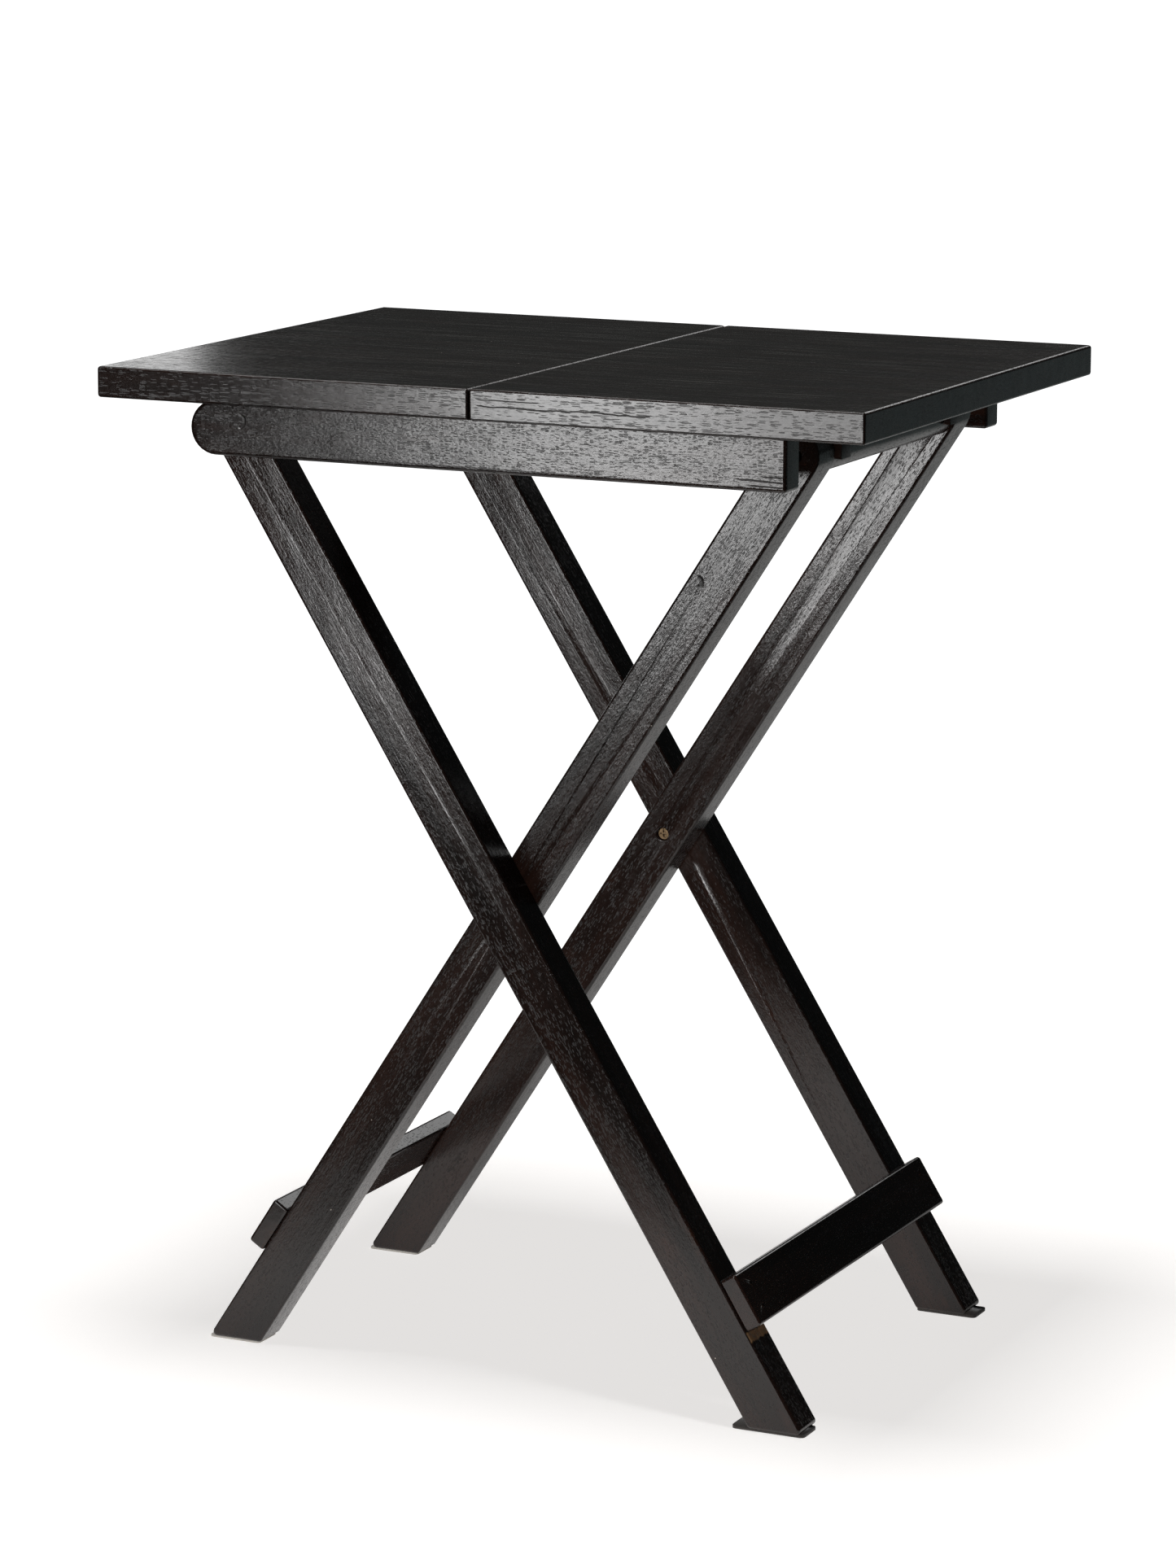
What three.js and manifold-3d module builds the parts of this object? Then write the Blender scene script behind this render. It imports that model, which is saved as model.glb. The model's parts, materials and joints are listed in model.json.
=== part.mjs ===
// Folding tray table in dark stained hardwood, as an assembly of separate pieces.
// Millimetres. X runs along the width of the top, Y from front to back, Z up.
// The origin lies on the floor, under the middle of the top.
//
// The top is two boards on two rails. It hinges on the outer leg frame ("a") at its left end
// and rests on the round rod of the inner leg frame ("b") at its right end. The two frames
// cross like scissors and turn on a pair of screws where they cross.

import * as THREE from "three";
import { mergeVertices } from "three/addons/utils/BufferGeometryUtils.js";
import Module from "manifold-3d";

const wasm = await Module();
wasm.setup();

// ---------------------------------------------------------------- driving dimensions

const TOP = { width: 530, depth: 394, thickness: 20, height: 660, seam: 0.6, arris: 1.4, corner: 2 };
const RAIL = { left: -207.5, right: 206.5, thickness: 21, height: 35, arris: 2.2, corner: 2.8 };
const LEG = { width: 32.5, thickness: 27, arris: 1.6 };
const STRETCHER = { width: 36, thickness: 12, fromFoot: 85, glue: 0.1, arris: 1.4, corner: 2 };
const ROD = { radius: 14, tenonRadius: 8, tenonLength: 12 };
const WASHER = { radius: 8, thickness: 1 };
const CLEARANCE = 0.25;

// Faces of the layers, measured outwards from the middle plane of the table.
const B_INNER = 102;
const B_OUTER = B_INNER + LEG.thickness;
const A_INNER = B_OUTER + WASHER.thickness;
const A_OUTER = A_INNER + LEG.thickness;
const RAIL_INNER = A_OUTER + WASHER.thickness;
const RAIL_OUTER = RAIL_INNER + RAIL.thickness;

// Joint axes and feet, as points [x, z] in the side view.
const UNDERSIDE = TOP.height - TOP.thickness;
const HINGE = [-190, UNDERSIDE - RAIL.height / 2];
const ROD_AXIS = [190.5, 621];
const FOOT_A = [197, 0];
const FOOT_B = [-211.5, 0];

const PAD_A = { width: 22, thickness: 2 };
const PAD_A_FRONT = { ...PAD_A, length: 50, shift: -8 };
const PAD_A_REAR = { ...PAD_A, length: 43, shift: 0 };
const PAD_B = { length: 38, width: 25, thickness: 1.2 };
const CATCH = { left: 140, lip: 4.5, lipBottom: 616.5, bottom: 618, thickness: 16, inset: 2, play: 0.5 };

// Screws and nails: head radius and height, shank radius, whole length, depth below the wood.
const PIVOT_SCREW = { head: 4.4, headHeight: 2.4, shank: 2.6, length: 44, sink: 3, sides: 24 };
const BOARD_SCREW = { head: 3.9, headHeight: 2.6, shank: 1.9, length: 34, sink: 14, sides: 16 };
const CATCH_SCREW = { head: 3.4, headHeight: 2.2, shank: 1.7, length: 28, sink: 3, sides: 16 };
const ROD_SCREW = { head: 4.3, headHeight: 2.6, shank: 1.9, length: 45, sink: 1.2, sides: 20 };
const NAIL = { head: 1.3, headHeight: 1, shank: 0.8, length: 32, sink: 0.6, sides: 10 };

const BOARD_SCREW_X = [-150, -60, 60, 150];
const CATCH_SCREW_X = [148, 161];
const NAIL_FROM_END = 13.5;

// ---------------------------------------------------------------- materials

const stain = (color, roughness) => ({ color, roughness, metalness: 0 });
const FINISH = {
  board: stain(0x2b211d, 0.38),
  rail: stain(0x251d1a, 0.42),
  leg: stain(0x2a201c, 0.42),
  stretcher: stain(0x2d211c, 0.45),
  rod: stain(0x2a221e, 0.35),
  catch: stain(0x231b18, 0.5),
  brass: { color: 0xb08a4c, roughness: 0.35, metalness: 1 },
  steel: { color: 0x9c9b98, roughness: 0.4, metalness: 1 },
  padA: stain(0x2a2725, 0.95),
  padB: stain(0xb9b4ab, 0.9),
};

// ---------------------------------------------------------------- solids

// A manifold-3d solid from a three.js geometry.
function toSolid(geometry) {
  const plain = geometry.clone();
  plain.deleteAttribute("normal");
  plain.deleteAttribute("uv");
  const merged = mergeVertices(plain, 1e-4);
  const mesh = new wasm.Mesh({
    numProp: 3,
    vertProperties: Float32Array.from(merged.attributes.position.array),
    triVerts: Uint32Array.from(merged.index.array),
  });
  return new wasm.Manifold(mesh);
}

// A flat-shaded three.js geometry from a manifold-3d solid.
function toGeometry(solid) {
  const mesh = solid.getMesh();
  const geometry = new THREE.BufferGeometry();
  geometry.setAttribute("position", new THREE.BufferAttribute(mesh.vertProperties, 3));
  geometry.setIndex(new THREE.BufferAttribute(mesh.triVerts, 1));
  const facets = geometry.toNonIndexed();
  facets.computeVertexNormals();
  return facets;
}

// What is left of a geometry after cutting the tools out of it.
function cut(geometry, tools) {
  return toGeometry(tools.reduce((left, tool) => left.subtract(toSolid(tool)), toSolid(geometry)));
}

// Outline with rounded corners, from corners [x, z, radius] given anticlockwise.
// A radius stays larger than the arris that prism() later takes off the same corner.
function roundedOutline(corners, step = Math.PI / 16) {
  const points = [];
  corners.forEach(([x, z, radius], i) => {
    const here = new THREE.Vector2(x, z);
    const before = new THREE.Vector2(...corners.at(i - 1).slice(0, 2)).sub(here).normalize();
    const after = new THREE.Vector2(...corners[(i + 1) % corners.length].slice(0, 2)).sub(here).normalize();
    const half = Math.acos(before.dot(after)) / 2;
    const middle = before.clone().add(after).normalize();
    const centre = here.clone().addScaledVector(middle, radius / Math.sin(half));
    const turn = Math.PI - 2 * half;
    const count = Math.max(2, Math.ceil(turn / step));
    const start = Math.atan2(-middle.y, -middle.x) - turn / 2;
    for (let k = 0; k <= count; k += 1) {
      const angle = start + (turn * k) / count;
      points.push(new THREE.Vector2(centre.x + radius * Math.cos(angle), centre.y + radius * Math.sin(angle)));
    }
  });
  return new THREE.Shape(points.filter((point, i) => point.distanceTo(points.at(i - 1)) > 0.01));
}

// An outline in the side view (X, Z) run from front to back, with rounded arrises at both ends.
function prism(outline, front, back, arris) {
  const geometry = new THREE.ExtrudeGeometry(outline, {
    depth: back - front - 2 * arris,
    bevelThickness: arris,
    bevelSize: arris,
    bevelOffset: -arris,
    bevelSegments: 2,
  });
  geometry.rotateX(Math.PI / 2);
  geometry.translate(0, back - arris, 0);
  return geometry;
}

// Cylinder between two points, as a cutting tool.
function bore(from, to, radius, sides = 24) {
  const start = new THREE.Vector3(...from);
  const axis = new THREE.Vector3(...to).sub(start);
  const geometry = new THREE.CylinderGeometry(radius, radius, axis.length(), sides);
  geometry.applyQuaternion(new THREE.Quaternion().setFromUnitVectors(new THREE.Vector3(0, 1, 0), axis.clone().normalize()));
  geometry.translate(...start.addScaledVector(axis, 0.5).toArray());
  return geometry;
}

// Point at a distance behind a start, along a direction.
function along(start, direction, distance) {
  return start.map((value, i) => value + direction[i] * distance);
}

// The hole that a screw or nail needs, from the face it is driven into.
function screwHoles(face, direction, screw) {
  const seat = along(face, direction, screw.sink);
  return [
    bore(along(face, direction, -2), along(seat, direction, screw.headHeight), screw.head + 2 * CLEARANCE),
    bore(seat, along(seat, direction, screw.length + 1), screw.shank + CLEARANCE),
  ];
}

// Countersunk screw along +Y from its head, with a cross recess.
function screwGeometry(screw) {
  const { head, headHeight, shank, length, sides } = screw;
  const tip = length - 2.5 * shank;
  const profile = [
    [0, 0],
    [head * 0.86, 0],
    [head, headHeight * 0.22],
    [shank, headHeight],
    [shank, tip],
    [0, length],
  ];
  const lathe = new THREE.LatheGeometry(profile.map(([r, y]) => new THREE.Vector2(r, y)), sides);
  if (screw === NAIL) return toGeometry(toSolid(lathe));
  const arm = [head * 1.1, headHeight * 0.9, head * 0.22];
  return cut(lathe, [new THREE.BoxGeometry(...arm), new THREE.BoxGeometry(arm[2], arm[1], arm[0])]);
}

// ---------------------------------------------------------------- scene helpers

const table = new THREE.Group();

function add(name, geometry, finish) {
  const mesh = new THREE.Mesh(geometry, new THREE.MeshStandardMaterial(FINISH[finish]));
  mesh.name = name;
  table.add(mesh);
  return mesh;
}

// A screw or nail driven from a face along a direction.
function addScrew(name, face, direction, screw, finish) {
  const mesh = add(name, screwGeometry(screw), finish);
  mesh.position.set(...along(face, direction, screw.sink));
  mesh.quaternion.setFromUnitVectors(new THREE.Vector3(0, 1, 0), new THREE.Vector3(...direction));
}

// Both sides of the table: +1 is the rear, -1 the front.
const SIDES = [
  ["front", -1],
  ["rear", 1],
];

// A layer between two distances from the middle plane, on one side.
function layer(side, inner, outer) {
  return side > 0 ? [inner, outer] : [-outer, -inner];
}

// ---------------------------------------------------------------- top

function boardOutline(left, right) {
  return roundedOutline([
    [left, UNDERSIDE, TOP.corner],
    [right, UNDERSIDE, TOP.corner],
    [right, TOP.height, TOP.corner],
    [left, TOP.height, TOP.corner],
  ], Math.PI / 6);
}

// A screw up through a rail into a board, as the face point and direction.
function boardScrewFace(x, side) {
  return [x, side * (RAIL_INNER + RAIL.thickness / 2), UNDERSIDE - RAIL.height];
}

const UP = [0, 0, 1];

function catchScrewFace(x, side) {
  return [x, side * (B_INNER - CATCH.inset - CATCH.thickness / 2), CATCH.bottom];
}

function buildBoards() {
  const gap = TOP.seam / 2;
  const boards = [
    ["top_board_left", -TOP.width / 2, -gap],
    ["top_board_right", gap, TOP.width / 2],
  ];
  for (const [name, left, right] of boards) {
    const body = prism(boardOutline(left, right), -TOP.depth / 2, TOP.depth / 2, TOP.arris);
    const inside = (x) => x > left && x < right;
    const holes = SIDES.flatMap(([, side]) => [
      ...BOARD_SCREW_X.filter(inside).flatMap((x) => screwHoles(boardScrewFace(x, side), UP, BOARD_SCREW)[1]),
      ...CATCH_SCREW_X.filter(inside).flatMap((x) => screwHoles(catchScrewFace(x, side), UP, CATCH_SCREW)[1]),
    ]);
    add(name, cut(body, holes), "board");
  }
}

// The hinge screw goes out through leg a into the rail, from a recess in the leg's inner face.
function hingeFace(side) {
  return [HINGE[0], side * A_INNER, HINGE[1]];
}

function buildRails() {
  const round = RAIL.height / 2;
  const bottom = UNDERSIDE - RAIL.height;
  const outline = roundedOutline([
    [RAIL.left, bottom, round],
    [RAIL.right, bottom, RAIL.corner],
    [RAIL.right, UNDERSIDE, RAIL.corner],
    [RAIL.left, UNDERSIDE, round],
  ]);
  for (const [end, side] of SIDES) {
    const body = prism(outline, ...layer(side, RAIL_INNER, RAIL_OUTER), RAIL.arris);
    const holes = BOARD_SCREW_X.flatMap((x) => screwHoles(boardScrewFace(x, side), UP, BOARD_SCREW));
    const hinge = screwHoles(hingeFace(side), [0, side, 0], PIVOT_SCREW)[1];
    add(`rail_${end}`, cut(body, [...holes, hinge]), "rail");
    BOARD_SCREW_X.forEach((x, i) => {
      addScrew(`board_screw_${end}_${i + 1}`, boardScrewFace(x, side), UP, BOARD_SCREW, "steel");
    });
  }
}

// Hook block under the right board, with a lip over the far side of the rod. Its slot slants
// towards the hinge, the way the rod leaves it when the top lifts and the legs close.
function catchOutline() {
  const radius = ROD.radius + CATCH.play;
  const slope = THREE.MathUtils.degToRad(55);
  const onArc = (angle) => [
    ROD_AXIS[0] + radius * Math.cos(angle),
    ROD_AXIS[1] + radius * Math.sin(angle),
  ];
  const first = Math.PI / 2 + slope;
  const last = Math.asin((CATCH.lipBottom - ROD_AXIS[1]) / radius);
  const [wallX, wallZ] = onArc(first);
  const points = [
    [CATCH.left, UNDERSIDE],
    [CATCH.left, CATCH.bottom],
    [wallX - (wallZ - CATCH.bottom) / Math.tan(slope), CATCH.bottom],
  ];
  for (let k = 0; k <= 16; k += 1) {
    points.push(onArc(first + ((last - first) * k) / 16));
  }
  const right = ROD_AXIS[0] + radius + CATCH.lip;
  points.push([right, CATCH.lipBottom], [right, UNDERSIDE]);
  return new THREE.Shape(points.reverse().map(([x, z]) => new THREE.Vector2(x, z)));
}

function buildCatches() {
  const outer = B_INNER - CATCH.inset;
  for (const [end, side] of SIDES) {
    const body = prism(catchOutline(), ...layer(side, outer - CATCH.thickness, outer), 0.6);
    const holes = CATCH_SCREW_X.flatMap((x) => screwHoles(catchScrewFace(x, side), UP, CATCH_SCREW));
    add(`rod_catch_${end}`, cut(body, holes), "catch");
    CATCH_SCREW_X.forEach((x, i) => {
      addScrew(`catch_screw_${end}_${i + 1}`, catchScrewFace(x, side), UP, CATCH_SCREW, "steel");
    });
  }
}

// ---------------------------------------------------------------- leg frames

// Directions of a leg in the side view: up along it, and square to it towards its stretcher.
function legFrame(top, foot, towards) {
  const length = Math.hypot(top[0] - foot[0], top[1] - foot[1]);
  const up = [(top[0] - foot[0]) / length, (top[1] - foot[1]) / length];
  return { top, foot, up, square: [towards * Math.abs(up[1]), Math.abs(up[0])], towards };
}

// Outline of a leg: half round about its top axis, cut level at the foot.
function legOutline({ top, foot, up }, floor) {
  const half = LEG.width / 2;
  const slant = half / up[1];
  const crown = [top[0] + up[0] * half, top[1] + up[1] * half];
  const sole = foot[0] + (up[0] / up[1]) * floor;
  return roundedOutline([
    [sole - slant, floor, 3],
    [sole + slant, floor, 3],
    [crown[0] + up[1] * half, crown[1] - up[0] * half, half],
    [crown[0] - up[1] * half, crown[1] + up[0] * half, half],
  ], Math.PI / 12);
}

// A board laid on the edges of both legs of a frame, near the feet.
function stretcherOutline(frame) {
  const { foot, up, square, towards } = frame;
  const inner = LEG.width / 2 + STRETCHER.glue;
  const corner = (alongLeg, outwards) => [
    foot[0] + up[0] * (STRETCHER.fromFoot + alongLeg) + square[0] * outwards,
    foot[1] + up[1] * (STRETCHER.fromFoot + alongLeg) + square[1] * outwards,
    STRETCHER.corner,
  ];
  const half = STRETCHER.width / 2;
  const corners = [
    corner(-half, inner),
    corner(-half, inner + STRETCHER.thickness),
    corner(half, inner + STRETCHER.thickness),
    corner(half, inner),
  ];
  return roundedOutline(towards > 0 ? corners : corners.reverse(), Math.PI / 6);
}

// Where a nail enters the outer face of a stretcher, and which way it goes.
function nailFace(frame, y) {
  const out = LEG.width / 2 + STRETCHER.glue + STRETCHER.thickness;
  const { foot, up, square } = frame;
  const x = foot[0] + up[0] * STRETCHER.fromFoot + square[0] * out;
  const z = foot[1] + up[1] * STRETCHER.fromFoot + square[1] * out;
  return [x, y, z];
}

// The nails of one stretcher end: two of them, side by side along the leg.
function nailPlaces(frame, side, outerFace) {
  const { up, square } = frame;
  const y = side * (outerFace - NAIL_FROM_END);
  const face = nailFace(frame, y);
  return [-8, 8].map((shift) => ({
    face: along(face, [up[0], 0, up[1]], shift),
    direction: [-square[0], 0, -square[1]],
  }));
}

function buildStretcher(letter, frame, outerFace) {
  const places = SIDES.flatMap(([, side]) => nailPlaces(frame, side, outerFace));
  const body = prism(stretcherOutline(frame), -outerFace, outerFace, STRETCHER.arris);
  const holes = places.flatMap(({ face, direction }) => screwHoles(face, direction, NAIL));
  add(`stretcher_${letter}`, cut(body, holes), "stretcher");
  places.forEach(({ face, direction }, i) => {
    addScrew(`stretcher_${letter}_nail_${i + 1}`, face, direction, NAIL, "steel");
  });
}

// Crossing point of the two leg axes in the side view.
function crossing(first, second) {
  const [p, d] = [first.foot, first.up];
  const [q, e] = [second.foot, second.up];
  const reach = ((q[0] - p[0]) * e[1] - (q[1] - p[1]) * e[0]) / (d[0] * e[1] - d[1] * e[0]);
  return [p[0] + d[0] * reach, p[1] + d[1] * reach];
}

const FRAME_A = legFrame(HINGE, FOOT_A, 1);
const FRAME_B = legFrame(ROD_AXIS, FOOT_B, -1);
const CROSS = crossing(FRAME_A, FRAME_B);

// The crossing screw goes out from a recess in leg b, through it and into leg a.
function crossFace(side) {
  return [CROSS[0], side * B_INNER, CROSS[1]];
}

function rodScrewFace(side) {
  return [ROD_AXIS[0], side * B_OUTER, ROD_AXIS[1]];
}

// Nail holes that reach into one leg from its stretcher.
function nailHoles(frame, side, outerFace) {
  return nailPlaces(frame, side, outerFace).map(({ face, direction }) => screwHoles(face, direction, NAIL)[1]);
}

function buildFrameA() {
  for (const [end, side] of SIDES) {
    const outward = [0, side, 0];
    const body = prism(legOutline(FRAME_A, PAD_A.thickness), ...layer(side, A_INNER, A_OUTER), LEG.arris);
    const holes = [
      ...screwHoles(hingeFace(side), outward, PIVOT_SCREW),
      screwHoles(crossFace(side), outward, PIVOT_SCREW)[1],
      ...nailHoles(FRAME_A, side, A_OUTER),
    ];
    add(`leg_a_${end}`, cut(body, holes), "leg");
  }
  buildStretcher("a", FRAME_A, A_OUTER);
}

function buildFrameB() {
  for (const [end, side] of SIDES) {
    const outward = [0, side, 0];
    const mortise = [ROD_AXIS[0], side * (B_INNER + ROD.tenonLength + 1), ROD_AXIS[1]];
    const body = prism(legOutline(FRAME_B, PAD_B.thickness), ...layer(side, B_INNER, B_OUTER), LEG.arris);
    const holes = [
      ...screwHoles(crossFace(side), outward, PIVOT_SCREW),
      ...screwHoles(rodScrewFace(side), [0, -side, 0], ROD_SCREW),
      bore([ROD_AXIS[0], side * (B_INNER - 2), ROD_AXIS[1]], mortise, ROD.tenonRadius + CLEARANCE),
      ...nailHoles(FRAME_B, side, B_OUTER),
    ];
    add(`leg_b_${end}`, cut(body, holes), "leg");
  }
  buildStretcher("b", FRAME_B, B_OUTER);
  buildRod();
}

// Round rod with a stub tenon at each end, held by a screw through each leg.
function buildRod() {
  const reach = B_INNER + ROD.tenonLength;
  const half = [
    [0, reach],
    [ROD.tenonRadius, reach],
    [ROD.tenonRadius, B_INNER - CLEARANCE],
    [ROD.radius, B_INNER - CLEARANCE],
  ];
  const profile = [...half.map(([r, y]) => [r, -y]), ...half.reverse()];
  const holes = SIDES.map(([, side]) => screwHoles(rodScrewFace(side), [0, -side, 0], ROD_SCREW)[1]);
  const geometry = new THREE.LatheGeometry(profile.map(([r, y]) => new THREE.Vector2(r, y)), 48);
  geometry.translate(ROD_AXIS[0], 0, ROD_AXIS[1]);
  add("top_rod", cut(geometry, holes), "rod");
  for (const [end, side] of SIDES) {
    addScrew(`rod_screw_${end}`, rodScrewFace(side), [0, -side, 0], ROD_SCREW, "steel");
  }
}

// ---------------------------------------------------------------- pivots and feet

// Flat ring between two wooden pieces, about an axis that runs front to back.
function washerGeometry() {
  const hole = PIVOT_SCREW.shank + CLEARANCE;
  const ring = [
    [hole, 0],
    [WASHER.radius, 0],
    [WASHER.radius, WASHER.thickness],
    [hole, WASHER.thickness],
    [hole, 0],
  ];
  return new THREE.LatheGeometry(ring.map(([r, y]) => new THREE.Vector2(r, y)), 24);
}

function addWasher(name, [x, z], inner, side) {
  const washer = add(name, toGeometry(toSolid(washerGeometry())), "steel");
  washer.position.set(x, side > 0 ? inner : -inner - WASHER.thickness, z);
}

function buildPivots() {
  for (const [end, side] of SIDES) {
    addScrew(`hinge_screw_${end}`, hingeFace(side), [0, side, 0], PIVOT_SCREW, "brass");
    addWasher(`hinge_washer_${end}`, HINGE, A_OUTER, side);
    addScrew(`cross_screw_${end}`, crossFace(side), [0, side, 0], PIVOT_SCREW, "brass");
    addWasher(`cross_washer_${end}`, CROSS, B_OUTER, side);
  }
}

function addPad(name, pad, x, y, finish) {
  const [halfLength, halfWidth] = [pad.length / 2, pad.width / 2];
  const outline = roundedOutline([
    [-halfLength, -halfWidth, 3],
    [halfLength, -halfWidth, 3],
    [halfLength, halfWidth, 3],
    [-halfLength, halfWidth, 3],
  ], Math.PI / 8);
  const geometry = new THREE.ExtrudeGeometry(outline, { depth: pad.thickness, bevelEnabled: false });
  add(name, toGeometry(toSolid(geometry)), finish).position.set(x, y, 0);
}

// The pads of frame a sit a little off their feet, as stuck-on pads do.
function buildPads() {
  const middleA = (A_INNER + A_OUTER) / 2;
  const middleB = (B_INNER + B_OUTER) / 2;
  addPad("foot_pad_a_front", PAD_A_FRONT, FOOT_A[0] + PAD_A_FRONT.shift, -middleA, "padA");
  addPad("foot_pad_a_rear", PAD_A_REAR, FOOT_A[0] + PAD_A_REAR.shift, middleA, "padA");
  addPad("foot_pad_b_front", PAD_B, FOOT_B[0], -middleB, "padB");
  addPad("foot_pad_b_rear", PAD_B, FOOT_B[0], middleB, "padB");
}

buildBoards();
buildRails();
buildCatches();
buildFrameA();
buildFrameB();
buildPivots();
buildPads();

export default table;
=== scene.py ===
# %% [markdown]
# # Folding tray table
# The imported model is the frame: every board, leg and screw already has its real place and size.
# This lesson gives those pieces their finish, re-makes the small hardware with Geometry Nodes,
# and sets up the studio. Everything is in metres; X runs along the width, Z up.

import json
import math

import bmesh
import bpy
from mathutils import Matrix, Vector


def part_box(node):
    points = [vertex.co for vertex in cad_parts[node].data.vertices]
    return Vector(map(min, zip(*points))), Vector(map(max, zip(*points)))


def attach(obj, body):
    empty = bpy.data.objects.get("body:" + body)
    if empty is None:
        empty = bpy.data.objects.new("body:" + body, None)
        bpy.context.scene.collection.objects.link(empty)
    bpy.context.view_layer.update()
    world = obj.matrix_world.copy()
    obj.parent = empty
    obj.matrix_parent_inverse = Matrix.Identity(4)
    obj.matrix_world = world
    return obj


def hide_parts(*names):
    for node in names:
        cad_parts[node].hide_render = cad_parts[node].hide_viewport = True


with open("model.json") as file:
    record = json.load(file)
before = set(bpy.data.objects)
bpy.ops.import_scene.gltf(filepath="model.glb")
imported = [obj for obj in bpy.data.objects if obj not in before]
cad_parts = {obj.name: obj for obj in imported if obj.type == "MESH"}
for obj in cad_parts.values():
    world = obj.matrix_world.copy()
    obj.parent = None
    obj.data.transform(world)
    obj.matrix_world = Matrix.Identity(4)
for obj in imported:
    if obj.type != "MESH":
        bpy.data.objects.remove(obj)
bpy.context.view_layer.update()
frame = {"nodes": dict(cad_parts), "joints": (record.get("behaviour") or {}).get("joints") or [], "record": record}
nodes = frame["nodes"]
body_of_node = {
    node: body for body, members in frame["record"]["behaviour"]["bodies"].items() for node in members
}
print("pieces in the frame:", len(nodes))

# %% [markdown]
# ## Where the wood runs
# Grain, wear and glue lines all follow the legs, so their directions are needed first. They could
# be typed in, but the joints of the frame already hold them: leg a passes through the hinge and the
# crossing screw, and leg b through the crossing screw and the middle of the round rod.

# %% Directions of the legs
joints = {joint["name"]: joint for joint in frame["joints"]}
hinge = Vector(joints["top_swing"]["pos_m"])
cross = Vector(joints["leg_fold"]["pos_m"])


def centre(node):
    low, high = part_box(node)
    return (Vector(low) + Vector(high)) / 2


rod_axis = centre("top_rod")
along_a = (hinge - cross).normalized()
along_b = (rod_axis - cross).normalized()
tilt_a = math.atan2(along_a.z, along_a.x)
tilt_b = math.atan2(along_b.z, along_b.x)
print(f"leg a leans {math.degrees(tilt_a):.1f} degrees, leg b {math.degrees(tilt_b):.1f} degrees")

# %% [markdown]
# ## Camera
# A long lens from well back keeps the legs nearly parallel, as a product view does. The camera is
# placed by an azimuth and an elevation round a point near the middle of the table, which is easier
# to read and to change than a matrix.

# %% Camera
def direction(azimuth, elevation):
    a, e = math.radians(azimuth), math.radians(elevation)
    return Vector((math.sin(a) * math.cos(e), -math.cos(a) * math.cos(e), math.sin(e)))


def aim(obj, target, azimuth, elevation, distance, roll=0.0):
    away = direction(azimuth, elevation)
    place = Matrix.Translation(Vector(target) + away * distance)
    turn = away.to_track_quat("Z", "Y").to_matrix().to_4x4()
    obj.matrix_world = place @ turn @ Matrix.Rotation(math.radians(roll), 4, "Z")


camera = bpy.data.objects.new("camera", bpy.data.cameras.new("camera"))
bpy.context.collection.objects.link(camera)
camera.data.sensor_width = 36
camera.data.lens = 120.5
camera.data.clip_end = 50
aim(camera, (-0.0106, 0, 0.3746), azimuth=25.31, elevation=11.33, distance=3.475, roll=0.12)
bpy.context.scene.camera = camera
print("camera stands at", [round(value, 3) for value in camera.location])

# %% [markdown]
# ## Node helpers
# Shader trees get long when every node takes four lines. A few small helpers keep them readable: the
# first adds a node and fills its sockets by name, the next starts a node group with named sockets,
# and the rest each make one common node. A value given to a socket is set on it, and a socket given
# to a socket is linked to it.

# %% Node helpers
def add_node(tree, kind, sockets=(), **settings):
    node = tree.nodes.new(kind)
    for name, value in settings.items():
        setattr(node, name, value)
    for key, value in dict(sockets).items():
        if isinstance(value, bpy.types.NodeSocket):
            tree.links.new(value, node.inputs[key])
        else:
            node.inputs[key].default_value = value
    return node


def shader_group(name, inputs, outputs):
    tree = bpy.data.node_groups.new(name, "ShaderNodeTree")
    for label, (kind, value) in inputs.items():
        socket = tree.interface.new_socket(label, in_out="INPUT", socket_type=f"NodeSocket{kind}")
        socket.default_value = value
    for label, kind in outputs.items():
        tree.interface.new_socket(label, in_out="OUTPUT", socket_type=f"NodeSocket{kind}")
    return tree, tree.nodes.new("NodeGroupInput").outputs, tree.nodes.new("NodeGroupOutput").inputs


def math_node(tree, operation, first, second=0.0, third=0.0, clamp=False):
    sockets = {0: first, 1: second, 2: third}
    return add_node(tree, "ShaderNodeMath", sockets, operation=operation, use_clamp=clamp).outputs[0]


def vector_math(tree, operation, first, second):
    return add_node(tree, "ShaderNodeVectorMath", {0: first, 1: second}, operation=operation).outputs


def stretched(tree, vector, scale):
    return vector_math(tree, "MULTIPLY", vector, scale)[0]


def noise(tree, vector, scale, detail=3.0, roughness=0.5, distortion=0.0):
    sockets = {"Vector": stretched(tree, vector, scale), "Scale": 1.0, "Detail": detail,
               "Roughness": roughness, "Distortion": distortion}
    return add_node(tree, "ShaderNodeTexNoise", sockets).outputs["Fac"]


def between(tree, value, low, high, to_low=0.0, to_high=1.0):
    sockets = {"Value": value, "From Min": low, "From Max": high, "To Min": to_low, "To Max": to_high}
    return add_node(tree, "ShaderNodeMapRange", sockets, interpolation_type="SMOOTHSTEP").outputs[0]


def mix_colour(tree, factor, first, second, blend="MIX"):
    node = add_node(tree, "ShaderNodeMix", data_type="RGBA", blend_type=blend)
    for key, value in ((0, factor), (6, first), (7, second)):
        if isinstance(value, bpy.types.NodeSocket):
            tree.links.new(value, node.inputs[key])
        else:
            node.inputs[key].default_value = value
    return node.outputs[2]


# %% [markdown]
# ## Wood grain
# Hardwood shows three sizes of detail at once: broad lighter and darker figure, fine fibres, and
# short open pores that the varnish doesn't fill. All are long along the grain and narrow across it,
# so one group reads a vector whose X runs along the grain and squeezes noise by different amounts,
# and Voronoi cells for the pores, because each pore is a short dash with two ends.
# Image textures would look the same on every piece; noise with a seed for each piece doesn't.

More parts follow.
